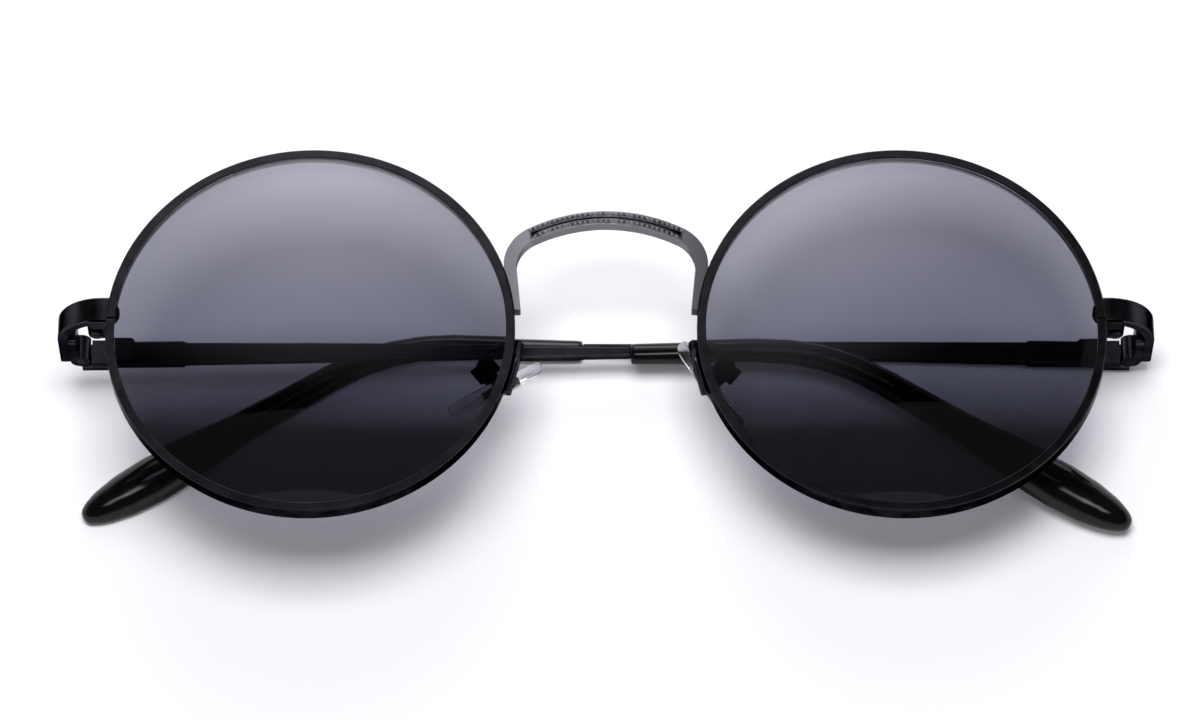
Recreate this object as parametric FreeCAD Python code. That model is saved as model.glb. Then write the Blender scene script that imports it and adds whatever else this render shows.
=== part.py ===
import FreeCAD, Part
import math
import os

from FreeCAD import Placement, Rotation, Vector

# Round metal sunglasses, folded and lying face up on their temples, in millimetres.
#
# Front frame: x across the face, v up the face, w out of the front, with the origin
# midway between the lenses on the front faces of the rims.  Every paired piece is
# built for the wearer's left side, at positive x, and mirrored for the right.
# Hinge frame: origin on the hinge screw, x outward, y up, z forward, temple open.
# Pad frame: origin on the pad screw, x to the pad's lower end, y to the nose, z back.

LEFT = 1
RIGHT = -1

# Lenses and rims
lens_diameter = 47.0
lens_gap = 22.0
lens_thickness = 1.8
lens_front_radius = 180.0
bevel_height = 0.65
bevel_half_width = 0.6
rim_wall = 1.05
rim_depth = 2.2
rim_chamfer = 0.15
lens_clearance = 0.03
rim_slit = 0.25

# Bridge bar: a shallow crown and two shoulders that run down into the feet
bridge_crown_height = 15.2
bridge_bar_height = 1.75
bridge_bar_depth = 1.45
bridge_crown_radius = 21.5
bridge_crown_half_angle = 25.0
bridge_spread = 1.0
bridge_leg_inset = 1.5
bridge_foot_width = 0.75
bridge_foot_bottom = 2.4
bridge_setback = 0.35
bridge_bow = 0.95
bridge_groove_width = 0.18
bridge_groove_depth = 0.2
bead_radius = 0.23
bead_pitch = 0.61
bead_height = 0.15
bead_sides = 6
bead_row_inset = 0.38
bead_row_end_angle = 26.0

# End pieces: a strap from the rim, round the corner and back to the hinge
end_reach = 6.1
strap_height = 3.1
strap_centre = 2.9
strap_setback = 0.8
arm_thickness = 1.15
end_bend_radius = 5.6
hinge_setback = 11.2
end_gap = 0.1
strap_edge_radius = 0.3
root_reach = 0.5
root_thickness = 0.9
root_overlap = 0.4

# Rim locks: two small blocks that a screw draws together across the slit in the rim
lock_reach = 2.2
lock_back = 3.1
lock_lower_height = 0.9
lock_upper_height = 1.3
lock_corner_radius = 0.7
lock_screw_radius = 0.4
lock_screw_head_radius = 0.7
lock_screw_head_height = 0.35

# Hinges
knuckle_radius = 1.15
hinge_height = 3.0
hinge_middle_height = 1.1
knuckle_gap = 0.05
leaf_offset = 1.2
leaf_thickness = 0.95
temple_leaf_length = 6.4
leaf_end_clearance = 0.12
leaf_corner = 0.5
hinge_screw_radius = 0.55
hinge_screw_head_radius = 0.8
hinge_screw_head_height = 0.5
running_clearance = 0.03
driver_slot_width = 0.25
driver_slot_depth = 0.22

# Temples
temple_root_height = 3.1
temple_root_length = 12.3
temple_step = 0.22
temple_end_height = 1.2
temple_waist = 40.0
temple_waist_height = 2.0
temple_rise = 1.3
temple_twist = 0.95
bar_edge_radius = 0.25
tip_start = 65.0
tip_bend_start = 80.4
tip_bend_radius = 26.0
tip_bend_angle = 33.8
tip_length = 65.2
tip_overhang = 0.5
tip_corner = 0.75
tip_flat_trim = 0.05
sleeve_width = 2.85
sleeve_thickness = 1.9
neck_width = 3.6
neck_thickness = 2.7
neck_place = 39.0
paddle_width = 6.2
paddle_thickness = 3.2
paddle_end_length = 9.8
core_height = 1.0
core_thickness = 0.8
core_length = 52.0
core_clearance = 0.05

# Nose pads
pad_length = 12.8
pad_lower_radius = 3.4
pad_upper_radius = 2.5
pad_thickness = 1.7
pad_back_offset = 1.25
pad_nose_edge_radius = 0.9
pad_back_edge_radius = 0.35
pad_mean_splay = 45.0
pad_frontal_angle = 22.0
pad_screw_inset = 2.9
pad_screw_drop = 2.7
pad_screw_depth = 7.0
pad_rock = 13.0
insert_length = 5.2
insert_width = 2.6
insert_thickness = 0.5
insert_depth = 0.6
stem_width = 1.5
eye_radius = 0.92
box_wall = 0.4
box_side_clearance = 0.05
box_half_length = 1.2
box_front = 0.6
box_base_clearance = 0.18
pad_screw_radius = 0.4
pad_screw_head_radius = 0.7
pad_screw_head_height = 0.35

# Pad arms: a bent wire soldered beside the rim, looped up and back to the pad box
arm_wire_radius = 0.5
arm_bend_radius = 1.3
arm_seat = 0.08
arm_foot_drop = 7.9
arm_leave_drop = 3.6
arm_crest = 0.3
arm_crest_outward = 0.1
arm_crest_depth = 4.4
arm_turn_inset = 0.3

# How the folded glasses lie
front_roll = 2.5
crossing_reach = 32.0
crossing_gap = 0.3

# Worked out from the sizes above
lens_radius = lens_diameter / 2
lens_centre = (lens_diameter + lens_gap) / 2
rim_inner_radius = lens_radius - bevel_height
rim_outer_radius = rim_inner_radius + rim_wall
rim_middle = -rim_depth / 2
bridge_half_width = lens_gap / 2 + bridge_spread
side_reach = lens_centre + rim_outer_radius + end_reach
hinge_x = side_reach - arm_thickness - leaf_offset
strap_bottom = strap_centre - strap_height / 2
front_leaf_length = hinge_setback - strap_setback - end_bend_radius - leaf_end_clearance
tip_flat_offset = leaf_offset + arm_thickness + tip_overhang
pad_screw_x = lens_gap / 2 + pad_screw_inset
under_fold = 90.0 - front_roll

ACROSS = Vector(1, 0, 0)
UP = Vector(0, 1, 0)
OUT = Vector(0, 0, 1)
ORIGIN = Vector(0, 0, 0)
REACH = 20.0


def line(start, end):
    return Part.LineSegment(start, end).toShape()


def arc(start, middle, end):
    return Part.Arc(start, middle, end).toShape()


def polygon(points):
    return Part.Face(Part.makePolygon(points + points[:1]))


def block(low, high):
    size = high - low
    return Part.makeBox(size.x, size.y, size.z, low)


def upright_cylinder(radius, bottom, top, x=0.0, z=0.0):
    return Part.makeCylinder(radius, top - bottom, Vector(x, bottom, z), UP)


def round_edges(shape, radius, chosen):
    edges = [edge for edge in shape.Edges if chosen(edge)]
    return shape.makeFillet(radius, edges)


def on_circle(centre, radius, degrees):
    turn = math.radians(degrees)
    return centre + Vector(radius * math.sin(turn), radius * math.cos(turn), 0)


def rim_disc(front=0.0, back=-rim_depth):
    centre = Vector(lens_centre, 0, back)
    return Part.makeCylinder(rim_outer_radius, front - back, centre, OUT)


def turned_about_lens(points):
    profile = polygon([Vector(lens_centre + radius, 0, w) for radius, w in points])
    return profile.revolve(Vector(lens_centre, 0, 0), OUT, 360)


def make_rim():
    """The eye wire: a grooved ring, slit where the rim lock closes it."""
    groove_half = bevel_half_width + lens_clearance
    groove_radius = lens_radius + lens_clearance
    ring = turned_about_lens([
        (rim_inner_radius, 0),
        (rim_outer_radius - rim_chamfer, 0),
        (rim_outer_radius, -rim_chamfer),
        (rim_outer_radius, -rim_depth + rim_chamfer),
        (rim_outer_radius - rim_chamfer, -rim_depth),
        (rim_inner_radius, -rim_depth),
        (rim_inner_radius, rim_middle - groove_half),
        (groove_radius, rim_middle),
        (rim_inner_radius, rim_middle + groove_half),
    ])
    slit = block(
        Vector(lens_centre + rim_inner_radius - 2 * rim_wall, strap_bottom - rim_slit, -2 * rim_depth),
        Vector(lens_centre + rim_outer_radius + rim_wall, strap_bottom, rim_depth),
    )
    return ring.cut(slit)


def make_lens():
    """A thin meniscus, bulging forward, with a ground bevel that sits in the groove."""
    edge_radius = rim_inner_radius - lens_clearance
    back_radius = lens_front_radius - lens_thickness
    sag = lens_front_radius - math.sqrt(lens_front_radius ** 2 - edge_radius ** 2)
    back_sag = back_radius - math.sqrt(back_radius ** 2 - edge_radius ** 2)
    front_edge = rim_middle + lens_thickness / 2
    front_top = front_edge + sag
    back_top = front_top - lens_thickness
    back_edge = back_top - back_sag

    def at(radius, w):
        return Vector(lens_centre + radius, 0, w)

    def on_front(radius):
        drop = lens_front_radius - math.sqrt(lens_front_radius ** 2 - radius ** 2)
        return at(radius, front_top - drop)

    def on_back(radius):
        drop = back_radius - math.sqrt(back_radius ** 2 - radius ** 2)
        return at(radius, back_top - drop)

    outline = Part.Wire([
        arc(at(0, front_top), on_front(edge_radius / 2), at(edge_radius, front_edge)),
        line(at(edge_radius, front_edge), at(edge_radius, rim_middle + bevel_half_width)),
        line(at(edge_radius, rim_middle + bevel_half_width), at(lens_radius, rim_middle)),
        line(at(lens_radius, rim_middle), at(edge_radius, rim_middle - bevel_half_width)),
        line(at(edge_radius, rim_middle - bevel_half_width), at(edge_radius, back_edge)),
        arc(at(edge_radius, back_edge), on_back(edge_radius / 2), at(0, back_top)),
        line(at(0, back_top), at(0, front_top)),
    ])
    return Part.Face(outline).revolve(Vector(lens_centre, 0, 0), OUT, 360)


def shoulder(crown_radius, half_width):
    """Centre and radius of the arc that leaves the crown and ends upright at half_width."""
    crown_centre = Vector(0, bridge_crown_height - bridge_crown_radius, 0)
    tangent = on_circle(crown_centre, crown_radius, bridge_crown_half_angle)
    radius = (half_width - tangent.x) / (1 - math.sin(math.radians(bridge_crown_half_angle)))
    return on_circle(tangent, -radius, bridge_crown_half_angle), radius, crown_centre


def arch_side(crown_radius, half_width, low, low_x):
    """One edge of the arch, from the left foot over the crown to the right foot."""
    centre, radius, crown_centre = shoulder(crown_radius, half_width)
    start = on_circle(crown_centre, crown_radius, bridge_crown_half_angle)
    middle = on_circle(centre, radius, (bridge_crown_half_angle + 90) / 2)
    end = centre + Vector(radius, 0, 0)
    foot = Vector(low_x, low, 0)

    def mirrored(point):
        return Vector(-point.x, point.y, 0)

    crown = on_circle(crown_centre, crown_radius, 0)
    return [
        line(foot, end),
        arc(end, middle, start),
        arc(start, crown, mirrored(start)),
        arc(mirrored(start), mirrored(middle), mirrored(end)),
        line(mirrored(end), mirrored(foot)),
    ]


def bowed_w(x):
    """Front face of the bowed bar: furthest forward at the crown."""
    radius = (bridge_half_width ** 2 + bridge_bow ** 2) / (2 * bridge_bow)
    return bridge_bow - bridge_setback - (radius - math.sqrt(radius ** 2 - x ** 2))


def bow_slab():
    edge = bridge_half_width
    back = Vector(0, 0, -bridge_bar_depth)
    front = [Vector(x, -REACH, bowed_w(x)) for x in (-edge, 0, edge)]
    rear = [point + back for point in front]
    outline = Part.Wire([
        arc(front[0], front[1], front[2]),
        line(front[2], rear[2]),
        arc(rear[2], rear[1], rear[0]),
        line(rear[0], front[0]),
    ])
    return Part.Face(outline).extrude(UP * 2 * REACH)


def faceted_bead(place):
    """A milled stud: a blunt pyramid that stands bead_height above the bar."""
    rings = []
    for level, radius in ((-bead_height, bead_radius * 1.5), (bead_height, bead_radius / 2)):
        centre = place + OUT * level
        corners = [on_circle(centre, radius, 360 * index / bead_sides) for index in range(bead_sides)]
        rings.append(Part.makePolygon(corners + corners[:1]))
    return Part.makeLoft(rings, True, True)


def bead_rows():
    """Two rows of milled beads along the crown, one near each edge of the bar."""
    centre = Vector(0, bridge_crown_height - bridge_crown_radius, 0)
    beads = []
    for inset in (bead_row_inset, bridge_bar_height - bead_row_inset):
        radius = bridge_crown_radius - inset
        step = math.degrees(bead_pitch / radius)
        half_count = int(bead_row_end_angle / step)
        for index in range(-half_count, half_count + 1):
            place = on_circle(centre, radius, index * step)
            place.z = bowed_w(place.x)
            beads.append(faceted_bead(place))
    return beads


def crown_groove():
    """The dark groove between the two beaded rows."""
    centre = Vector(0, bridge_crown_height - bridge_crown_radius, -REACH)
    middle = bridge_crown_radius - bridge_bar_height / 2
    outer = Part.makeCylinder(middle + bridge_groove_width / 2, 2 * REACH, centre, OUT)
    inner = Part.makeCylinder(middle - bridge_groove_width / 2, 2 * REACH, centre, OUT)
    end = middle * math.sin(math.radians(bridge_crown_half_angle))
    span = block(Vector(-end, 0, -REACH), Vector(end, REACH, REACH))
    slab = bow_slab()
    slab.translate(Vector(0, 0, bridge_bar_depth - bridge_groove_depth))
    return outer.cut(inner).common(span).common(slab)


def make_bridge():
    inner_width = bridge_half_width - bridge_leg_inset
    foot_seat = lens_centre - math.sqrt(rim_outer_radius ** 2 - bridge_foot_bottom ** 2)
    outer = arch_side(bridge_crown_radius, bridge_half_width, bridge_foot_bottom, bridge_half_width)
    inner = arch_side(
        bridge_crown_radius - bridge_bar_height, inner_width,
        bridge_foot_bottom, foot_seat - bridge_foot_width,
    )
    ends = [
        line(Vector(side * bridge_half_width, bridge_foot_bottom, 0),
             Vector(side * (foot_seat - bridge_foot_width), bridge_foot_bottom, 0))
        for side in (LEFT, RIGHT)
    ]
    arch = Part.Face(Part.Wire(Part.__sortEdges__(outer + inner + ends)))
    arch.translate(Vector(0, 0, -REACH))
    bar = arch.extrude(OUT * 2 * REACH).common(bow_slab())
    bar = bar.cut([rim_disc(), mirrored_x(rim_disc()), crown_groove()])
    return bar.fuse(bead_rows()).removeSplitter()


def mirrored_x(shape):
    return shape.mirror(ORIGIN, ACROSS)


def make_end_piece():
    """A flat strap, bent in plan, that carries the hinge behind the lens."""
    back = -strap_setback - arm_thickness
    inner = side_reach - arm_thickness
    root = lens_centre + rim_inner_radius
    corner = Vector(side_reach - end_bend_radius, 0, -strap_setback - end_bend_radius)
    end = -hinge_setback + end_gap
    inner_radius = end_bend_radius - arm_thickness

    def diagonal(radius):
        return corner + Vector(radius, 0, radius) * math.sqrt(0.5)

    outline = Part.Wire([
        line(Vector(root, 0, -strap_setback), Vector(corner.x, 0, -strap_setback)),
        arc(Vector(corner.x, 0, -strap_setback), diagonal(end_bend_radius), Vector(side_reach, 0, corner.z)),
        line(Vector(side_reach, 0, corner.z), Vector(side_reach, 0, end)),
        line(Vector(side_reach, 0, end), Vector(inner, 0, end)),
        line(Vector(inner, 0, end), Vector(inner, 0, corner.z)),
        arc(Vector(inner, 0, corner.z), diagonal(inner_radius), Vector(corner.x, 0, back)),
        line(Vector(corner.x, 0, back), Vector(root, 0, back)),
        line(Vector(root, 0, back), Vector(root, 0, -strap_setback)),
    ])
    strap = Part.Face(outline).extrude(UP * strap_height)
    strap.translate(UP * strap_bottom)

    def on_outer_face(edge):
        middle = edge.valueAt((edge.FirstParameter + edge.LastParameter) / 2)
        level = min(abs(middle.y - strap_bottom), abs(middle.y - strap_bottom - strap_height))
        past_corner = middle.x - side_reach
        on_front = abs(middle.z + strap_setback) < running_clearance
        on_side = abs(past_corner) < running_clearance
        on_bend = abs((middle - Vector(corner.x, middle.y, corner.z)).Length - end_bend_radius)
        outer = on_front or on_side or on_bend < running_clearance
        return level < running_clearance and outer

    strap = round_edges(strap, strap_edge_radius, on_outer_face).cut(rim_disc(REACH, -REACH))
    return strap.fuse(end_piece_root()).cut(lock_screw_hole(strap_bottom)).removeSplitter()


def end_piece_root():
    """The rounded tab that is soldered to the back of the rim and shows through the lens."""
    back = -rim_depth - root_thickness
    tip = lens_centre + rim_inner_radius - root_reach
    turn = Vector(tip + strap_height / 2, strap_centre, back)
    outer = lens_centre + rim_outer_radius + root_overlap
    front = -strap_setback - strap_edge_radius
    end = Part.makeCylinder(strap_height / 2, front - back, turn, OUT)
    end = end.common(block(Vector(tip, strap_bottom, back), Vector(turn.x, strap_centre + REACH, front)))
    tab = block(Vector(turn.x, strap_bottom, back), Vector(outer, strap_bottom + strap_height, front))
    return tab.fuse(end).cut(rim_disc())


def lock_screw_place():
    x = lens_centre + rim_outer_radius + lock_reach / 2
    return x, -(strap_setback + lock_back) / 2


def lock_screw_hole(bottom):
    x, w = lock_screw_place()
    top = strap_bottom + lock_upper_height + running_clearance
    return upright_cylinder(lock_screw_radius + running_clearance, bottom, top, x, w)


def make_rim_lock_upper():
    root = lens_centre + rim_outer_radius + root_overlap
    shape = block(
        Vector(root, strap_bottom, -lock_back),
        Vector(lens_centre + rim_outer_radius + lock_reach, strap_bottom + lock_upper_height,
               -strap_setback - arm_thickness),
    )
    return shape.cut([lock_screw_hole(strap_bottom), make_end_piece()])


def make_rim_lock_lower():
    top = strap_bottom - rim_slit
    bottom = top - lock_lower_height
    root = lens_centre + rim_inner_radius
    reach = lens_centre + rim_outer_radius + lock_reach
    shape = block(Vector(root, bottom, -lock_back), Vector(reach, top, -strap_setback))

    def lower_outer(edge):
        middle = edge.valueAt((edge.FirstParameter + edge.LastParameter) / 2)
        return (middle - Vector(reach, bottom, middle.z)).Length < running_clearance

    shape = round_edges(shape, lock_corner_radius, lower_outer)
    return shape.cut([rim_disc(REACH, -REACH), lock_screw_hole(bottom)])


def slotted_head(radius, height, bottom, shank_radius, shank_end):
    """A cheese head above y = bottom, its driver slot, and the shank down to shank_end."""
    head = upright_cylinder(radius, bottom, bottom + height)
    slot = block(
        Vector(-radius * 2, bottom + height - driver_slot_depth, -driver_slot_width / 2),
        Vector(radius * 2, bottom + height * 2, driver_slot_width / 2),
    )
    shank = upright_cylinder(shank_radius, shank_end, bottom + height / 2)
    return head.fuse(shank).cut(slot).removeSplitter()


def make_rim_lock_screw():
    """Enters from below, through the lower block into the upper one."""
    x, w = lock_screw_place()
    seat = strap_bottom - rim_slit - lock_lower_height
    length = lock_lower_height + rim_slit + lock_upper_height
    screw = slotted_head(lock_screw_head_radius, lock_screw_head_height, 0, lock_screw_radius, -length)
    screw.rotate(ORIGIN, ACROSS, 180)
    screw.translate(Vector(x, seat, w))
    return screw


def knuckle_spans():
    """Heights of the lower, middle and upper knuckle, about the middle of the hinge."""
    top = hinge_height / 2
    middle = hinge_middle_height / 2
    return (-top, -middle - knuckle_gap), (-middle, middle), (middle + knuckle_gap, top)


def hinge_leaf(length, spans):
    """A soldered plate that runs forward from knuckles round the screw."""
    near = knuckle_radius + leaf_end_clearance
    plate = block(
        Vector(leaf_offset - leaf_thickness, -hinge_height / 2, near),
        Vector(leaf_offset, hinge_height / 2, length),
    )

    def far_corner(edge):
        middle = edge.valueAt((edge.FirstParameter + edge.LastParameter) / 2)
        at_end = abs(middle.z - length) < running_clearance
        return at_end and abs(abs(middle.y) - hinge_height / 2) < running_clearance

    leaf = round_edges(plate, leaf_corner, far_corner)
    for low, high in spans:
        knuckle = upright_cylinder(knuckle_radius, low, high)
        web = block(Vector(leaf_offset - leaf_thickness, low, 0), Vector(leaf_offset, high, near))
        web = web.cut(block(Vector(knuckle_radius, low, -1), Vector(REACH, high, end_gap)))
        leaf = leaf.fuse([knuckle, web])
    hole = upright_cylinder(hinge_screw_radius + running_clearance, -hinge_height, hinge_height)
    return leaf.cut(hole).removeSplitter()


def make_hinge_front_leaf():
    lower, _, upper = knuckle_spans()
    leaf = hinge_leaf(front_leaf_length, (lower, upper))
    seat = upright_cylinder(
        hinge_screw_head_radius + running_clearance,
        hinge_height / 2 - hinge_screw_head_height, hinge_height,
    )
    return leaf.cut(seat)


def make_hinge_temple_leaf():
    return hinge_leaf(temple_leaf_length, knuckle_spans()[1:2]).mirror(ORIGIN, OUT)


def make_hinge_screw():
    """Head let into the upper knuckle, flush with its top."""
    head_bottom = hinge_height / 2 - hinge_screw_head_height
    return slotted_head(hinge_screw_head_radius, hinge_screw_head_height, head_bottom,
                        hinge_screw_radius, -hinge_height / 2)


def temple_point(along, above=0.0):
    """A point of the temple's side view, at a distance along its centre line."""
    bend = math.radians(tip_bend_angle)
    straight_end = tip_bend_start + tip_bend_radius * bend
    if along <= tip_bend_start:
        return Vector(0, above, -along)
    turned = min((along - tip_bend_start) / tip_bend_radius, bend)
    radius = tip_bend_radius + above
    point = Vector(
        0,
        radius * math.cos(turned) - tip_bend_radius,
        -tip_bend_start - radius * math.sin(turned),
    )
    past = max(along - straight_end, 0)
    return point + Vector(0, -math.sin(bend), -math.cos(bend)) * past


def ribbon(start, end, height, inner, outer):
    """A flat strip that follows the temple's centre line round its bend."""
    half = height / 2
    bend_end = tip_bend_start + tip_bend_radius * math.radians(tip_bend_angle)
    middle = (tip_bend_start + bend_end) / 2

    def side(above):
        return [
            line(temple_point(start, above), temple_point(tip_bend_start, above)),
            arc(temple_point(tip_bend_start, above), temple_point(middle, above),
                temple_point(bend_end, above)),
            line(temple_point(bend_end, above), temple_point(end, above)),
        ]

    ends = [line(temple_point(along, -half), temple_point(along, half)) for along in (start, end)]
    face = Part.Face(Part.Wire(Part.__sortEdges__(side(half) + side(-half) + ends)))
    face.translate(ACROSS * inner)
    return face.extrude(ACROSS * (outer - inner))


def core_ribbon(clearance, extra_length):
    middle = tip_flat_offset - sleeve_thickness / 2
    half = core_thickness / 2 + clearance
    end = tip_start + core_length + extra_length
    return ribbon(tip_start, end, core_height + 2 * clearance, middle - half, middle + half)


def tapered_strip(side):
    """An upright strip of the bar, from pairs of distance along and half height."""
    outline = [Vector(leaf_offset, half, -along) for along, half in side]
    outline += [Vector(leaf_offset, -half, -along) for along, half in reversed(side)]
    strip = polygon(outline).extrude(ACROSS * arm_thickness)

    def lengthwise(edge):
        return edge.BoundBox.ZLength > temple_root_length / 2

    return round_edges(strip, bar_edge_radius, lengthwise)


def make_temple_bar():
    """The visible bar, deep at the hinge and fine at the tip, and the core inside the tip."""
    root = tapered_strip([
        (end_gap, temple_root_height / 2),
        (temple_root_length, temple_root_height / 2),
    ])
    blade = tapered_strip([
        (temple_root_length, temple_root_height / 2 - temple_step),
        (temple_waist, temple_waist_height / 2),
        (tip_start, temple_end_height / 2),
    ])
    return root.fuse([blade, core_ribbon(0, 0)]).removeSplitter()


def between(first, last, share):
    return first + (last - first) * share


def tip_sections():
    """Distance past the start of the tip, width and thickness of each section."""
    bend = tip_bend_start - tip_start
    bend_length = tip_bend_radius * math.radians(tip_bend_angle)
    widest = tip_length - paddle_end_length
    sections = []
    for past in (0.0, *(bend + bend_length * step / 4 for step in range(5)), neck_place):
        share = past / neck_place
        sections.append((past, between(sleeve_width, neck_width, share),
                         between(sleeve_thickness, neck_thickness, share)))
    for share in (0.25, 0.5, 0.75):
        swell = share ** 2 * (3 - 2 * share)
        sections.append((between(neck_place, widest, share), between(neck_width, paddle_width, swell),
                         between(neck_thickness, paddle_thickness, swell)))
    for share in (0.0, 0.4, 0.7, 0.88, 0.97):
        rounding = math.sqrt(1 - share ** 2)
        sections.append((widest + paddle_end_length * share, paddle_width * rounding,
                         paddle_thickness * math.sqrt(rounding)))
    return sections


def tip_section_wire(past, width, thickness):
    """Flat on the outer side and domed on the side that faces the head."""
    along = tip_start + past
    ahead = temple_point(along + 0.5) - temple_point(along - 0.5)
    across = ahead.cross(ACROSS).normalize()
    centre = temple_point(along)
    corner = min(tip_corner, 0.45 * thickness, 0.45 * width)
    flat = tip_flat_offset + tip_flat_trim

    def at(side, inward):
        return centre + across * side + ACROSS * (flat - inward)

    def corner_middle(sign):
        away = corner * (1 - math.sqrt(0.5))
        return at(sign * (width / 2 - away), away)

    half = width / 2
    return Part.Wire([
        line(at(half - corner, 0), at(corner - half, 0)),
        arc(at(corner - half, 0), corner_middle(-1), at(-half, corner)),
        arc(at(-half, corner), at(0, thickness), at(half, corner)),
        arc(at(half, corner), corner_middle(1), at(half - corner, 0)),
    ])


def make_temple_tip():
    """The acetate end: a slim sleeve that bends down behind the ear into a paddle."""
    wires = [tip_section_wire(*section) for section in tip_sections()]
    tip = Part.makeLoft(wires, True, True)
    beyond_flat = block(
        Vector(tip_flat_offset, -REACH * 3, -tip_start - tip_length * 2),
        Vector(tip_flat_offset + REACH, REACH, 0),
    )
    return tip.cut([beyond_flat, core_ribbon(core_clearance, core_clearance)])


def make_nose_pad():
    """An egg-shaped clear pad, rounded more on the nose side than at the back."""
    spread = pad_length - pad_lower_radius - pad_upper_radius
    lean = math.asin((pad_lower_radius - pad_upper_radius) / spread)
    lower = pad_length / 2 - pad_lower_radius
    upper = lower - spread

    def on_end(centre, radius, side):
        return Vector(centre + radius * math.sin(lean), pad_back_offset, side * radius * math.cos(lean))

    low_front, low_back = (on_end(lower, pad_lower_radius, side) for side in (1, -1))
    top_front, top_back = (on_end(upper, pad_upper_radius, side) for side in (1, -1))
    outline = Part.Wire([
        arc(low_front, Vector(lower + pad_lower_radius, pad_back_offset, 0), low_back),
        line(low_back, top_back),
        arc(top_back, Vector(upper - pad_upper_radius, pad_back_offset, 0), top_front),
        line(top_front, low_front),
    ])
    pad = Part.Face(outline).extrude(UP * pad_thickness)
    back = pad_back_offset

    def level(height):
        return lambda edge: edge.BoundBox.YMin > height - 0.01 and edge.BoundBox.YMax < height + 0.01

    pad = round_edges(pad, pad_nose_edge_radius, level(back + pad_thickness))
    pad = round_edges(pad, pad_back_edge_radius, level(back))
    return pad.cut(make_pad_insert())


def make_pad_insert():
    """The plate moulded into the pad, its stem, and the eye that the pad screw passes."""
    half_stem = stem_width / 2
    plate_back = pad_back_offset + insert_depth
    plate = block(
        Vector(-insert_length / 2, plate_back, -insert_width / 2),
        Vector(insert_length / 2, plate_back + insert_thickness, insert_width / 2),
    )
    stem = block(Vector(-half_stem, 0, -half_stem), Vector(half_stem, plate_back, half_stem))
    eye = Part.makeCylinder(eye_radius, stem_width, Vector(0, 0, -half_stem), OUT)
    hole = Part.makeCylinder(pad_screw_radius + running_clearance, REACH, Vector(0, 0, -REACH / 2), OUT)
    return plate.fuse([stem, eye]).cut(hole).removeSplitter()


def box_outer_width():
    return stem_width / 2 + box_side_clearance + box_wall


def box_back():
    return -eye_radius - box_base_clearance - box_wall


def pad_box_envelope():
    side = box_outer_width()
    return block(Vector(-box_half_length, box_back(), -side), Vector(box_half_length, box_front, side))


def make_pad_box():
    """A small channel, open towards the nose, that holds the eye of the pad."""
    inside = stem_width / 2 + box_side_clearance
    channel = block(
        Vector(-REACH, box_back() + box_wall, -inside),
        Vector(REACH, REACH, inside),
    )
    hole = Part.makeCylinder(pad_screw_radius + running_clearance, REACH, Vector(0, 0, -REACH / 2), OUT)
    box = round_edges(pad_box_envelope(), box_wall / 2, lambda edge: abs(edge.BoundBox.YMin - box_front) < 0.01)
    return box.cut([channel, hole])


def make_pad_screw():
    """Passes front to back through the box and the eye, head at the back."""
    side = box_outer_width()
    screw = slotted_head(pad_screw_head_radius, pad_screw_head_height, side, pad_screw_radius, -side)
    screw.rotate(ORIGIN, ACROSS, 90)
    return screw


def pad_placement():
    splay = math.radians(pad_mean_splay)
    turn = math.radians(pad_frontal_angle)
    lower_end = Vector(math.sin(splay), -math.cos(splay), 0)
    nose = Vector(-math.cos(splay), -math.sin(splay), 0) * math.cos(turn) - OUT * math.sin(turn)
    back = lower_end.cross(nose)
    return Placement(
        Vector(pad_screw_x, -pad_screw_drop, -pad_screw_depth),
        Rotation(lower_end, nose, back, "XYZ"),
    )


def rim_side_point(v, outward, w):
    """A point beside the nasal wall of the rim, outward millimetres away from it."""
    radius = rim_outer_radius + outward
    return Vector(lens_centre - math.sqrt(radius ** 2 - v ** 2), v, w)


def rounded_path(points, radius):
    """Straight runs joined by tangent arcs."""
    edges = []
    start = points[0]
    for before, corner, after in zip(points, points[1:], points[2:]):
        into = (corner - before).normalize()
        out = (after - corner).normalize()
        half_turn = into.getAngle(out) / 2
        run = min((corner - before).Length, (after - corner).Length)
        setback = min(radius * math.tan(half_turn), 0.45 * run)
        first = corner - into * setback
        last = corner + out * setback
        sagitta = setback * math.tan(half_turn / 2)
        inward = (out - into).normalize()
        middle = (first + last) / 2 - inward * sagitta
        edges.append(line(start, first))
        edges.append(arc(first, middle, last))
        start = last
    edges.append(line(start, points[-1]))
    return Part.Wire(edges)


def make_pad_arm():
    """Wire soldered along the rim, looped back over itself to the pad box."""
    wall = arm_wire_radius - arm_seat
    box_seat = pad_placement().multVec(Vector(0, box_back() + box_wall / 2, 0))
    foot_w = rim_middle - arm_wire_radius
    route = [
        rim_side_point(-arm_foot_drop, wall, foot_w),
        rim_side_point(-arm_leave_drop, wall, foot_w),
        rim_side_point(arm_crest, wall + arm_crest_outward, -arm_crest_depth),
        Vector(pad_screw_x - arm_turn_inset, arm_crest, -pad_screw_depth),
        box_seat,
    ]
    path = rounded_path(route, arm_bend_radius)
    start = (route[1] - route[0]).normalize()
    circle = Part.makeCircle(arm_wire_radius, route[0], start)
    wire = Part.Wire(path).makePipeShell([Part.Wire(circle)], True, False)
    box = pad_box_envelope()
    box.Placement = pad_placement()
    return wire.cut([rim_disc(), box])


def over_fold():
    """Fold angle of the upper temple: its tip just clears the lower temple's bar."""
    lift = tip_overhang + arm_thickness + crossing_gap
    drop = 2 * hinge_x * math.sin(math.radians(front_roll)) - lift
    slope = math.degrees(math.atan2(drop, hinge_x + crossing_reach))
    return 90.0 + front_roll - slope


def fold_angle(side):
    return under_fold if side == LEFT else over_fold()


def front_placement():
    """The front, rolled about its upright axis, high enough for the lower temple to lie flat."""
    roll = math.radians(front_roll)
    height = tip_flat_offset + hinge_x * math.sin(roll) + hinge_setback * math.cos(roll)
    return Placement(Vector(0, 0, height), Rotation(UP, front_roll))


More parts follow.
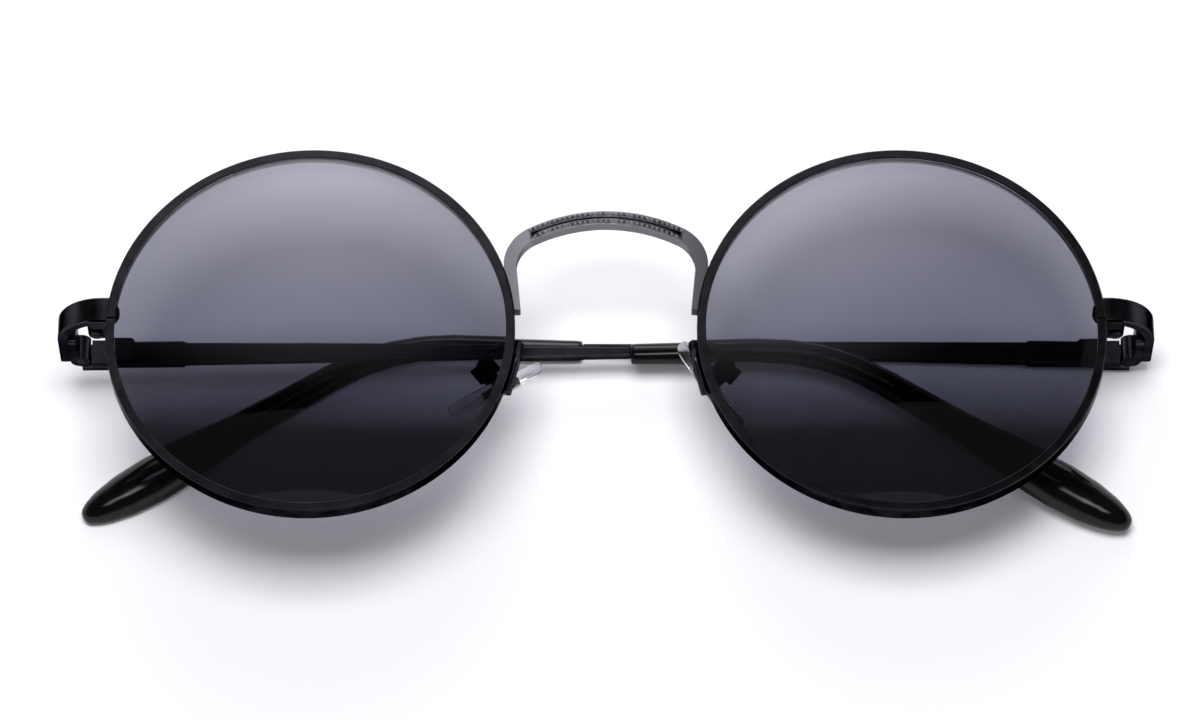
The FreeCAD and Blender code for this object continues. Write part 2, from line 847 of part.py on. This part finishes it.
def hinge_placement(side):
    fold = Rotation(UP, side * fold_angle(side))
    return Placement(Vector(side * hinge_x, strap_centre, -hinge_setback), fold)


def sided(shape, side):
    return shape if side == LEFT else mirrored_x(shape)


def placed(shape, placement):
    copy = shape.copy()
    copy.Placement = placement.multiply(copy.Placement)
    return copy


def front_pieces(side):
    """Pieces built in the front frame, and front pieces built in the hinge or pad frame."""
    pieces = {
        "rim": make_rim(),
        "lens": make_lens(),
        "end_piece": make_end_piece(),
        "rim_lock_upper": make_rim_lock_upper(),
        "rim_lock_lower": make_rim_lock_lower(),
        "rim_lock_screw": make_rim_lock_screw(),
        "pad_arm": make_pad_arm(),
        "pad_box": placed(make_pad_box(), pad_placement()),
        "pad_screw": placed(make_pad_screw(), pad_placement()),
    }
    hinge = Placement(Vector(hinge_x, strap_centre, -hinge_setback), Rotation())
    pieces["hinge_front_leaf"] = placed(make_hinge_front_leaf(), hinge)
    pieces["hinge_screw"] = placed(make_hinge_screw(), hinge)
    return {name: sided(shape, side) for name, shape in pieces.items()}


def pad_pieces(side):
    rock = Placement(ORIGIN, Rotation(OUT, side * pad_rock))
    seat = pad_placement().multiply(rock)
    pieces = {"nose_pad": make_nose_pad(), "pad_insert": make_pad_insert()}
    return {name: sided(placed(shape, seat), side) for name, shape in pieces.items()}


def rise_placement(side):
    """The bars rise a little from their hinges, one more than the other, as on worn glasses."""
    return Placement(ORIGIN, Rotation(ACROSS, temple_rise + side * temple_twist))


def temple_pieces(side):
    rise = rise_placement(side)
    pieces = {
        "temple_bar": placed(make_temple_bar(), rise),
        "temple_tip": placed(make_temple_tip(), rise),
        "hinge_temple_leaf": make_hinge_temple_leaf(),
    }
    return {name: placed(sided(shape, side), hinge_placement(side)) for name, shape in pieces.items()}


def build():
    """Every piece by node name, in the frame of the folded glasses on the table."""
    nodes = {"bridge": make_bridge()}
    for side, word in ((LEFT, "left"), (RIGHT, "right")):
        for group in (front_pieces(side), pad_pieces(side), temple_pieces(side)):
            for name, shape in group.items():
                nodes[f"{word}_{name}"] = shape
    rest = front_placement()
    nodes = {name: placed(shape, rest) for name, shape in nodes.items()}
    bounds = FreeCAD.BoundBox()
    for shape in nodes.values():
        bounds.add(shape.optimalBoundingBox(False, False))
    shift = Vector(-bounds.Center.x, -bounds.Center.y, -bounds.ZMin)
    for shape in nodes.values():
        shape.translate(shift)
    return nodes, shift


nodes, shift = build()
os.makedirs("parts", exist_ok=True)
for name, shape in nodes.items():
    shape.exportStep(f"parts/{name}.step")
    print(name, len(shape.Solids), shape.isValid(), round(shape.Volume, 3))
print("pieces", len(nodes), "shift", shift)
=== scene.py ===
# %% [markdown]
# Round metal sunglasses, folded, on a white table.
#
# The model arrives from CAD as a fixed frame: every rim, screw and bar is already at its
# real place and size, in metres, with the table at z = 0.  This lesson dresses that frame.
# It gives each piece the finish that its real counterpart has, and swaps in finer meshes
# where a mesh tool makes a better surface than a CAD solid does.

# %% Load the frame
import bpy
import math
from mathutils import Matrix, Vector


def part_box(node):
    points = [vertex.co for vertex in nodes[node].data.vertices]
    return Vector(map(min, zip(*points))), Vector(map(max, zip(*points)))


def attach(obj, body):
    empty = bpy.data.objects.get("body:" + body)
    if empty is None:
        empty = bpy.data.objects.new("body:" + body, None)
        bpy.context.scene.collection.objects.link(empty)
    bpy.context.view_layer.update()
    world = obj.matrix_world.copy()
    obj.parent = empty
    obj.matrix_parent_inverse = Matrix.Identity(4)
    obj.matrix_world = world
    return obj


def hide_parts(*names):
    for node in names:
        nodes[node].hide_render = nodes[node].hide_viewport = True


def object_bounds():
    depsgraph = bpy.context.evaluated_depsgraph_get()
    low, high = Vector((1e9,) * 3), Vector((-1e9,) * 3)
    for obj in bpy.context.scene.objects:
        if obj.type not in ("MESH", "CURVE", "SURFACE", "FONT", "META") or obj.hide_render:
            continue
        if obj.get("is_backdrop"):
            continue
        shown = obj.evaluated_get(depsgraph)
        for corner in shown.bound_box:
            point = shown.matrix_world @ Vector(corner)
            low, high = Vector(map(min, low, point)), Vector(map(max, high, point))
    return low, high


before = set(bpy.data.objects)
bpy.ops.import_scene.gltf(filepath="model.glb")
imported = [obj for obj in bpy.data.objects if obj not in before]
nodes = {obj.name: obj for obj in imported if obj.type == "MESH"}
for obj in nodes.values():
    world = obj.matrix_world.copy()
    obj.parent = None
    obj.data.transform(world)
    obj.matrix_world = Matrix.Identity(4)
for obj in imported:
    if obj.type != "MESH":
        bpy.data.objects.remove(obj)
cad_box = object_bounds()
scene = bpy.context.scene
print("pieces in the frame:", len(nodes))

# %% [markdown]
# Blender works in metres, while spectacle makers talk in millimetres.  One factor turns
# the sizes of the glasses, which are all real ones, into Blender's units.  Lamps and panels
# stand much further off, so their sizes and places stay in metres.

# %% Units
MM = 0.001
print("one millimetre is", MM, "of Blender's units")

# %% [markdown]
# The front of the folded glasses isn't quite level: the wearer's right temple lies over
# the left one and lifts its own side.  Two rims that are mirror images of each other show
# by how much.  The line between their centres gives the roll.  The point midway between
# them, lifted by half a rim's depth to the front's face, is where the camera's place is
# worked out from.

# %% Find the front of the glasses
def centre_of(node):
    low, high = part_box(node)
    return (low + high) / 2


left_rim_centre = centre_of("left_rim")
right_rim_centre = centre_of("right_rim")
across = left_rim_centre - right_rim_centre
front_roll = math.atan2(-across.z, across.x)
front_turn = Matrix.Rotation(front_roll, 4, "Y")
RIM_DEPTH = 2.2 * MM
middle_of_rims = (left_rim_centre + right_rim_centre) / 2
front_origin = middle_of_rims + front_turn @ Vector((0, 0, RIM_DEPTH / 2))
front_to_row = Matrix.Translation(front_origin) @ front_turn
print("roll of the front:", round(math.degrees(front_roll), 2), "degrees")

# %% [markdown]
# The photograph was taken with a long lens from the chin side, 28 degrees off the line
# square to the lenses.  A long lens keeps the two round rims the same size.  The values
# came from fitting the outlines of both rims, so the picture is 1200 by 720 and the lens
# is given by its focal length in those pixels.  The camera is square to the front of the
# glasses and not to the table, so its place is worked out in the front's own frame.

# %% Camera
IMAGE_WIDTH = 1200
FOCAL_PIXELS = 6023
SENSOR_WIDTH_MM = 36.0
CAMERA_DISTANCE = 700 * MM
CAMERA_LEAN = math.radians(28.07)
AIM_RIGHT = -0.70 * MM
AIM_UP = -4.345 * MM

looking = front_turn.to_3x3() @ Vector((0, math.sin(CAMERA_LEAN), -math.cos(CAMERA_LEAN)))
upward = front_turn.to_3x3() @ Vector((0, math.cos(CAMERA_LEAN), math.sin(CAMERA_LEAN)))
aim = front_to_row @ Vector((AIM_RIGHT, AIM_UP, 0))

camera_data = bpy.data.cameras.new("camera")
camera_data.sensor_width = SENSOR_WIDTH_MM
camera_data.lens = FOCAL_PIXELS / IMAGE_WIDTH * SENSOR_WIDTH_MM
camera_data.clip_start = 10 * MM
camera = bpy.data.objects.new("camera", camera_data)
scene.collection.objects.link(camera)
backward = -looking
sideways = upward.cross(backward)
axes = Matrix((sideways, upward, backward)).transposed().to_4x4()
camera.matrix_world = Matrix.Translation(aim - looking * CAMERA_DISTANCE) @ axes
scene.camera = camera
print("lens:", round(camera_data.lens, 1), "mm")

# %% [markdown]
# Colours are written as the hex values that a painter or a web page would use.  Those
# are sRGB values, and the renderer adds light in linear values, so one function turns
# the first into the second.

# %% Colour
def linear(hex_colour):
    channels = [int(hex_colour[index:index + 2], 16) / 255 for index in (1, 3, 5)]

    def straighten(value):
        return value / 12.92 if value <= 0.04045 else ((value + 0.055) / 1.055) ** 2.4

    return tuple(straighten(value) for value in channels) + (1.0,)


print("middle grey #808080 is", round(linear("#808080")[0], 3), "in linear light")

# %% [markdown]
# A material is a small graph, and so is the world.  One helper adds a node to its owner,
# sets the node's properties and sockets, and links other nodes in: a socket's value is
# either a plain value or the output of another node.  A socket goes by its label with
# underscores for spaces, or by in_ and its number where several share a label.

# %% Node helper
def add(owner, kind, settings=None, **sockets):
    node = owner.node_tree.nodes.new("ShaderNode" + kind)
    for name, value in (settings or {}).items():
        setattr(node, name, value)
    for name, value in sockets.items():
        numbered = name.startswith("in_")
        socket = node.inputs[int(name[3:]) if numbered else name.replace("_", " ")]
        if isinstance(value, bpy.types.NodeSocket):
            owner.node_tree.links.new(value, socket)
        else:
            socket.default_value = value
    return node


def new_material(name):
    material = bpy.data.materials.new(name)
    material.use_nodes = True
    material.node_tree.nodes.clear()
    return material


def show(material, shader):
    add(material, "OutputMaterial", Surface=shader)
    print("material made:", material.name)
    return material


# %% [markdown]
# The table is a sheet of white acrylic, lit until it is as white as the paper of a
# catalogue, with the glasses' soft shadow left on it.  Diffuse white alone would need so
# much light that the glasses bleach.  So the sheet gets a little glow, only for what
# looks at it straight, in a mirror or through glass, and the lamps stay at a plain level.

# %% Table
TABLE_GLOW = 0.05


def white_acrylic_sheet():
    material = new_material("white acrylic sheet")
    path = add(material, "LightPath")
    mirrored = add(material, "Math", {"operation": "MAXIMUM"},
                   in_0=path.outputs["Is Camera Ray"], in_1=path.outputs["Is Glossy Ray"])
    seen = add(material, "Math", {"operation": "MAXIMUM"},
               in_0=mirrored.outputs[0], in_1=path.outputs["Is Transmission Ray"])
    strength = add(material, "Math", {"operation": "MULTIPLY"}, in_0=seen.outputs[0],
                   in_1=TABLE_GLOW)
    glow = add(material, "Emission", Color=linear("#fbfaff"), Strength=strength.outputs[0])
    white = add(material, "BsdfDiffuse", Color=linear("#f3f2f5"))
    both = add(material, "AddShader", in_0=glow.outputs[0], in_1=white.outputs[0])
    return show(material, both.outputs[0])


def flat_sheet(name, half_width, half_length, material):
    mesh = bpy.data.meshes.new(name)
    corners = [(x, y, 0) for x, y in ((-1, -1), (1, -1), (1, 1), (-1, 1))]
    mesh.from_pydata(corners, [], [(0, 1, 2, 3)])
    mesh.materials.append(material)
    sheet = bpy.data.objects.new(name, mesh)
    sheet.scale = (half_width, half_length, 1)
    scene.collection.objects.link(sheet)
    sheet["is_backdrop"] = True
    return sheet


TABLE_HALF = 1.5
flat_sheet("table", TABLE_HALF, TABLE_HALF, white_acrylic_sheet())
print("table:", 2 * TABLE_HALF, "m square")

# %% [markdown]
# A product photographer lights glossy black things with few, large, soft sources, because
# each one shows up as a highlight.  The key light is a softbox over the glasses, all but
# straight up: it makes the short shadow under the rims.  Its place is given as the angle
# that it leans from straight up, towards the brow side, and its distance.  It lights the
# glasses but isn't mirrored by them, because the highlights come from the next lights.

# %% Key light
def overhead(lean_degrees, distance, right=0.0):
    lean = math.radians(lean_degrees)
    return Vector((right, distance * math.sin(lean), distance * math.cos(lean)))


def face_the_glasses(thing, place):
    thing.location = place
    thing.rotation_euler = (-place).to_track_quat("-Z", "Y").to_euler()


KEY_SIZE = (0.46, 0.37)
KEY_PLACE = overhead(lean_degrees=-1, distance=0.8)
KEY_POWER = 5.7
key_data = bpy.data.lights.new("key softbox", "AREA")
key_data.shape = "RECTANGLE"
key_data.size, key_data.size_y = KEY_SIZE
key_data.energy = KEY_POWER
key = bpy.data.objects.new("key softbox", key_data)
scene.collection.objects.link(key)
face_the_glasses(key, KEY_PLACE)
key.visible_glossy = False
print("key softbox:", KEY_POWER, "W at", round(KEY_PLACE.length, 2), "m")

# %% [markdown]
# What a lens or a polished tip mirrors depends on where its light stands, so that is
# done by two silk panels, bright in the middle and feathered to nothing at their edges.
# The panel beyond the brow side is mirrored by the upper half of the lenses and gives
# them their pale bloom.  The one overhead is mirrored by the tips, the rims and the bends
# of the end pieces, and it adds no plain light, because the key light gives that.

# %% Feathered panels
def lit_silk(strength):
    material = new_material("lit silk, feathered")
    place = add(material, "TexCoord")
    feather = add(material, "TexGradient", {"gradient_type": "QUADRATIC_SPHERE"},
                  Vector=place.outputs["Object"])
    power = add(material, "Math", {"operation": "MULTIPLY"}, in_0=feather.outputs["Fac"],
                in_1=strength)
    glow = add(material, "Emission", Color=linear("#fafaff"), Strength=power.outputs[0])
    return show(material, glow.outputs[0])


def silk_panel(name, halves, place, strength):
    panel = flat_sheet(name, *halves, lit_silk(strength))
    face_the_glasses(panel, place)
    panel.visible_camera = False
    panel.visible_shadow = False
    return panel


REAR_HALVES = (0.28, 0.37)
REAR_PLACE = overhead(lean_degrees=53, distance=0.55, right=-0.03)
REAR_STRENGTH = 6.5
silk_panel("rear silk", REAR_HALVES, REAR_PLACE, REAR_STRENGTH)

TOP_HALVES = (0.26, 0.13)
TOP_PLACE = overhead(lean_degrees=-13, distance=0.6)
TOP_STRENGTH = 11.0
top_silk = silk_panel("top silk", TOP_HALVES, TOP_PLACE, TOP_STRENGTH)
top_silk.visible_diffuse = False

# %% [markdown]
# The room is a gradient by direction: white round the horizon, so that a low view has a
# white background as well, and a dim grey above it, so that black stays black.  Height
# is counted from 0 at the horizon to 1 straight up.

# %% Room
WHITE_UP_TO = 0.2
DIM_FROM = 0.5
DIM_LEVEL = 0.1

world = bpy.data.worlds.new("studio")
scene.world = world
world.use_nodes = True
world.node_tree.nodes.clear()
direction = add(world, "TexCoord")
split = add(world, "SeparateXYZ", Vector=direction.outputs["Generated"])
level = add(world, "MapRange", {"interpolation_type": "SMOOTHSTEP"}, Value=split.outputs["Z"],
            From_Min=WHITE_UP_TO, From_Max=DIM_FROM, To_Min=1.0, To_Max=DIM_LEVEL)
room = add(world, "Background", Color=linear("#fbfbff"), Strength=level.outputs["Result"])
add(world, "OutputWorld", Surface=room.outputs[0])
scene.view_settings.view_transform = "Standard"
print("room: white to a height of", WHITE_UP_TO, "and", DIM_LEVEL, "above", DIM_FROM)

# %% [markdown]
# The wire of the rims is nickel silver with a black electroplate.  The plate is a thin
# hard metal layer, and it keeps the faint orange peel of the wire under it.  No edge of a
# plated part is perfectly sharp.  A bevel node bends the shading over the last tenth of a
# millimetre, so each edge catches its thin line of light, and the mesh stays as it is.

# %% Worn edges and orange peel
PEEL = 0.25 * MM
PEEL_DEPTH = 0.006 * MM
PEEL_STRENGTH = 0.3
WORN_EDGE = 0.1 * MM
EDGE_SAMPLES = 6


def worn_normal(material, place):
    peel = add(material, "TexNoise", Vector=place.outputs["Object"], Scale=1 / PEEL, Detail=2.0)
    edge = add(material, "Bevel", {"samples": EDGE_SAMPLES}, Radius=WORN_EDGE)
    bump = add(material, "Bump", Strength=PEEL_STRENGTH, Distance=PEEL_DEPTH,
               Height=peel.outputs["Fac"], Normal=edge.outputs["Normal"])
    return bump.outputs["Normal"]


print("worn edges:", round(WORN_EDGE / MM, 2), "mm wide")

# %% [markdown]
# The plate reflects like metal, but darkly, and no plating bath leaves it quite even.  So
# its grey and its gloss drift a little from cloud to cloud, each about 2 mm wide.  A bare
# metal turns white where it is seen at a grazing angle, and this black one only grey.
# The pad arms are plated a little lighter, and the screws are blackened and duller.

# %% Black electroplate
CLOUD = 2 * MM
GLOSSIER = 0.05
DULLER = 0.07
PLATE_AT_GRAZING = "#808080"


def electroplate(name, dark, light, roughness):
    material = new_material(name)
    place = add(material, "TexCoord")
    cloud = add(material, "TexNoise", Vector=place.outputs["Object"], Scale=1 / CLOUD, Detail=3.0)
    tint = add(material, "ValToRGB", Fac=cloud.outputs["Fac"])
    tint.color_ramp.elements[0].position = 0.35
    tint.color_ramp.elements[0].color = linear(dark)
    tint.color_ramp.elements[1].position = 0.7
    tint.color_ramp.elements[1].color = linear(light)
    matt = add(material, "MapRange", Value=cloud.outputs["Fac"], To_Min=roughness - GLOSSIER,
               To_Max=roughness + DULLER)
    plate = add(material, "BsdfPrincipled", Base_Color=tint.outputs["Color"], Metallic=1.0,
                Roughness=matt.outputs["Result"], Specular_Tint=linear(PLATE_AT_GRAZING),
                Normal=worn_normal(material, place))
    return show(material, plate.outputs[0])


PLATE = electroplate("black electroplate, satin", "#2f2f33", "#3c3c40", roughness=0.2)
WIRE = electroplate("black nickel plate, drawn wire", "#3c3c40", "#505054", roughness=0.22)
SCREW = electroplate("blackened steel, turned", "#36363a", "#4a4a4e", roughness=0.28)

# %% [markdown]
# The bridge is a drawn bar with two rows of beads milled into its face.  Its gunmetal
# plate is coloured lighter on the crown of each bead, partly as rubbed wear and partly as
# a painted highlight, and dark between them, which is painted shade in the hollows.
# Pointiness tells a vertex that stands out from one that lies in a hollow, so the colour
# goes by it.  A plain face has vertices only along its edges, which stand out as well, so
# the bar's plain faces come out lighter than the hollows.

# %% Gunmetal of the bridge
# Painted shade for the hollows between beads; the crown colour is partly wear and partly painted
# highlight.
HOLLOW_PAINTED_SHADE = "#19191b"
CROWN_WEAR_AND_PAINTED_HIGHLIGHT = "#a8a9ae"
GUNMETAL_AT_GRAZING = "#606060"


def gunmetal_plate():
    material = new_material("gunmetal plate, milled beads")
    place = add(material, "TexCoord")
    shape = add(material, "NewGeometry")
    # Pointiness picks painted shade for the hollows and worn, highlighted plate for the crowns.
    wear_and_painted_light = add(material, "ValToRGB", Fac=shape.outputs["Pointiness"])
    wear_and_painted_light.color_ramp.elements[0].position = 0.5
    wear_and_painted_light.color_ramp.elements[0].color = linear(HOLLOW_PAINTED_SHADE)
    wear_and_painted_light.color_ramp.elements[1].position = 0.57
    wear_and_painted_light.color_ramp.elements[1].color = linear(CROWN_WEAR_AND_PAINTED_HIGHLIGHT)
    plate = add(material, "BsdfPrincipled", Base_Color=wear_and_painted_light.outputs["Color"], Metallic=1.0,
                Roughness=0.3, Specular_Tint=linear(GUNMETAL_AT_GRAZING),
                Normal=worn_normal(material, place))
    return show(material, plate.outputs[0])


GUNMETAL = gunmetal_plate()

# %% [markdown]
# The lenses are polymer sheet, dyed grey in a bath and cut round.  A dyed lens takes
# light away evenly, so its colour works as a filter.  On top of that grey, the colour is
# graded by height, counted from 0 at the cheek edge to 1 at the brow: lightest towards
# the brow and nearly black towards the cheek.  That grading is painted light and shade:
# it stands in for the lit table seen through the upper half and the shaded table seen
# through the lower half.  Light passes two faces of the lens.  Blender's glass shader
# takes the root of the base colour at each face, and the plain filter that stands in
# for it in the shadow takes its root from a gamma node.

# %% Grey lens with painted shade
LENS_HALF = 23 * MM
# Painted shade: the lens colour darkens towards the cheek, standing in for the shaded table seen
# through it.
TINT_AND_PAINTED_SHADE_FROM_CHEEK = {0.2: "#24252b", 0.37: "#6c6d78", 0.5: "#8a8b96", 0.9: "#888893"}


def grey_lens_with_painted_shade():
    material = new_material("grey lens, bath dyed, shade painted by height")
    place = add(material, "TexCoord")
    split = add(material, "SeparateXYZ", Vector=place.outputs["Object"])
    height = add(material, "MapRange", Value=split.outputs["Y"], From_Min=-LENS_HALF,
                 From_Max=LENS_HALF)
    tint = add(material, "ValToRGB", Fac=height.outputs["Result"])
    stops = tint.color_ramp.elements
    heights = sorted(TINT_AND_PAINTED_SHADE_FROM_CHEEK)
    stops[0].position = heights[0]
    stops[1].position = heights[-1]
    for between in heights[1:-1]:
        stops.new(between)
    for stop, part_way in zip(stops, heights):
        stop.color = linear(TINT_AND_PAINTED_SHADE_FROM_CHEEK[part_way])
    glass = add(material, "BsdfPrincipled", Base_Color=tint.outputs["Color"], Roughness=0.0,
                IOR=1.5, Transmission_Weight=1.0)
    root = add(material, "Gamma", Color=tint.outputs["Color"], Gamma=0.5)
    through = add(material, "BsdfTransparent", Color=root.outputs["Color"])
    path = add(material, "LightPath")
    either = add(material, "MixShader", in_0=path.outputs["Is Shadow Ray"],
                 in_1=glass.outputs[0], in_2=through.outputs[0])
    return show(material, either.outputs[0])


LENS = grey_lens_with_painted_shade()

# %% [markdown]
# The tips are cellulose acetate, dyed black in the mass and tumbled to a polish.  A black
# polish shows no colour of its own, only what it mirrors, a little rippled, because a
# tumbled surface is never quite even.  The ripples are about 3 mm long.

# %% Black acetate
RIPPLE = 3 * MM
RIPPLE_DEPTH = 0.05 * MM
RIPPLE_STRENGTH = 0.15


def black_acetate():
    material = new_material("black cellulose acetate, tumbled")
    place = add(material, "TexCoord")
    cloud = add(material, "TexNoise", Vector=place.outputs["Object"], Scale=1 / CLOUD, Detail=2.0)
    tint = add(material, "ValToRGB", Fac=cloud.outputs["Fac"])
    tint.color_ramp.elements[0].color = linear("#030304")
    tint.color_ramp.elements[1].color = linear("#08080a")
    ripple = add(material, "TexNoise", Vector=place.outputs["Object"], Scale=1 / RIPPLE,
                 Detail=1.0)
    bump = add(material, "Bump", Strength=RIPPLE_STRENGTH, Distance=RIPPLE_DEPTH,
               Height=ripple.outputs["Fac"])
    matt = add(material, "MapRange", Value=cloud.outputs["Fac"], To_Min=0.1, To_Max=0.17)
    plastic = add(material, "BsdfPrincipled", Base_Color=tint.outputs["Color"],
                  Roughness=matt.outputs["Result"], IOR=1.48, Specular_IOR_Level=0.3,
                  Normal=bump.outputs["Normal"])
    return show(material, plastic.outputs[0])


ACETATE = black_acetate()

# %% [markdown]
# The nose pads are clear silicone.  It is glassy like the lenses but softer, with a
# faintly matt skin from the mould, and it lets nearly all light through.

# %% Clear silicone of the pads
def clear_silicone():
    material = new_material("clear silicone, moulded")
    place = add(material, "TexCoord")
    cloud = add(material, "TexNoise", Vector=place.outputs["Object"], Scale=1 / CLOUD, Detail=2.0)
    tint = add(material, "ValToRGB", Fac=cloud.outputs["Fac"])
    tint.color_ramp.elements[0].color = linear("#e9e9ee")
    tint.color_ramp.elements[1].color = linear("#f6f6f9")
    matt = add(material, "MapRange", Value=cloud.outputs["Fac"], To_Min=0.08, To_Max=0.22)
    soft = add(material, "BsdfPrincipled", Base_Color=tint.outputs["Color"],
               Roughness=matt.outputs["Result"], IOR=1.41, Transmission_Weight=1.0)
    through = add(material, "BsdfTransparent", Color=tint.outputs["Color"])
    path = add(material, "LightPath")
    either = add(material, "MixShader", in_0=path.outputs["Is Shadow Ray"],
                 in_1=soft.outputs[0], in_2=through.outputs[0])
    return show(material, either.outputs[0])


SILICONE = clear_silicone()

# %% [markdown]
# The two sides of a pair of glasses are made from the same stock, so a piece's finish
# goes by its name without the side.  All but the temple tips and the nose pads keep the
# solids that CAD gave them and only get their material.

# %% Give each CAD piece its finish
SIDES = ("left", "right")
FINISHES = {
    "bridge": GUNMETAL, "rim": PLATE, "lens": LENS, "end_piece": PLATE, "rim_lock_upper": PLATE,
    "rim_lock_lower": PLATE, "rim_lock_screw": SCREW, "pad_arm": WIRE, "pad_box": WIRE,
    "pad_screw": SCREW, "hinge_front_leaf": PLATE, "hinge_screw": SCREW, "temple_bar": PLATE,
    "temple_tip": ACETATE, "hinge_temple_leaf": PLATE, "nose_pad": SILICONE, "pad_insert": WIRE,
}


def kind_of(node):
    side, _, kind = node.partition("_")
    return kind if side in SIDES else node


for name, piece in nodes.items():
    piece.data.materials.clear()
    piece.data.materials.append(FINISHES[kind_of(name)])
print("finished pieces:", len(nodes))

# %% [markdown]
# Two kinds of piece have no machined edge anywhere.  A nose pad is cast in a polished
# mould, and an acetate tip is tumbled in a barrel of wooden pegs until its edges are
# round.  Their CAD solids have the right outline, with crisp edges.  A voxel remesh cuts
# such a solid into an even skin of small squares, and rounds of smoothing then take the
# edges off.  The size of a square and the number of rounds say how round an edge gets.
# Silicone also shrinks a little as it cures, so a pad ends up slightly smaller all round
# than its mould, which keeps it clear of its wire arm when it rocks.

# %% Pieces with rounded edges
def rounded(node, name, square, rounds, material, shrinkage=0.0):
    piece = bpy.data.objects.new(name, node.data.copy())
    scene.collection.objects.link(piece)
    remesh = piece.modifiers.new("even skin", "REMESH")
    remesh.mode = "VOXEL"
    remesh.voxel_size = square
    soften = piece.modifiers.new("rounded edges", "SMOOTH")
    soften.factor = 0.5
    soften.iterations = rounds
    cure = piece.modifiers.new("curing", "DISPLACE")
    cure.strength = -shrinkage
    cure.mid_level = 0.0
    bpy.context.view_layer.update()
    finished = piece.evaluated_get(bpy.context.evaluated_depsgraph_get())
    skin = bpy.data.meshes.new_from_object(finished)
    piece.modifiers.clear()
    piece.data = skin
    skin.polygons.foreach_set("use_smooth", [True] * len(skin.polygons))
    skin.materials.clear()
    skin.materials.append(material)
    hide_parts(node.name)
    print(name, len(skin.polygons), "faces")
    return piece


TIP_SQUARE = 0.25 * MM
TIP_ROUNDS = 24
PAD_SQUARE = 0.11 * MM
PAD_ROUNDS = 12
PAD_SHRINKAGE = 0.08 * MM

for side in SIDES:
    tip = rounded(nodes[side + "_temple_tip"], side + "_tumbled_tip", TIP_SQUARE, TIP_ROUNDS,
                  ACETATE)
    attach(tip, "temple_" + side)
    pad = rounded(nodes[side + "_nose_pad"], side + "_cast_pad", PAD_SQUARE, PAD_ROUNDS,
                  SILICONE, PAD_SHRINKAGE)
    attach(pad, "nose_pad_" + side)

# %% [markdown]
# Dressing the frame mustn't change its size.  The box round the CAD model was taken at
# the start, and the one round the dressed model is taken now.  Both are printed, so
# that they can be compared.

# %% Sizes of the CAD model and of the dressed one
visual_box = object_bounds()

for title, (low, high) in (("CAD", cad_box), ("dressed", visual_box)):
    print(title, "size in mm:", [round((top - bottom) / MM, 1) for bottom, top in zip(low, high)])
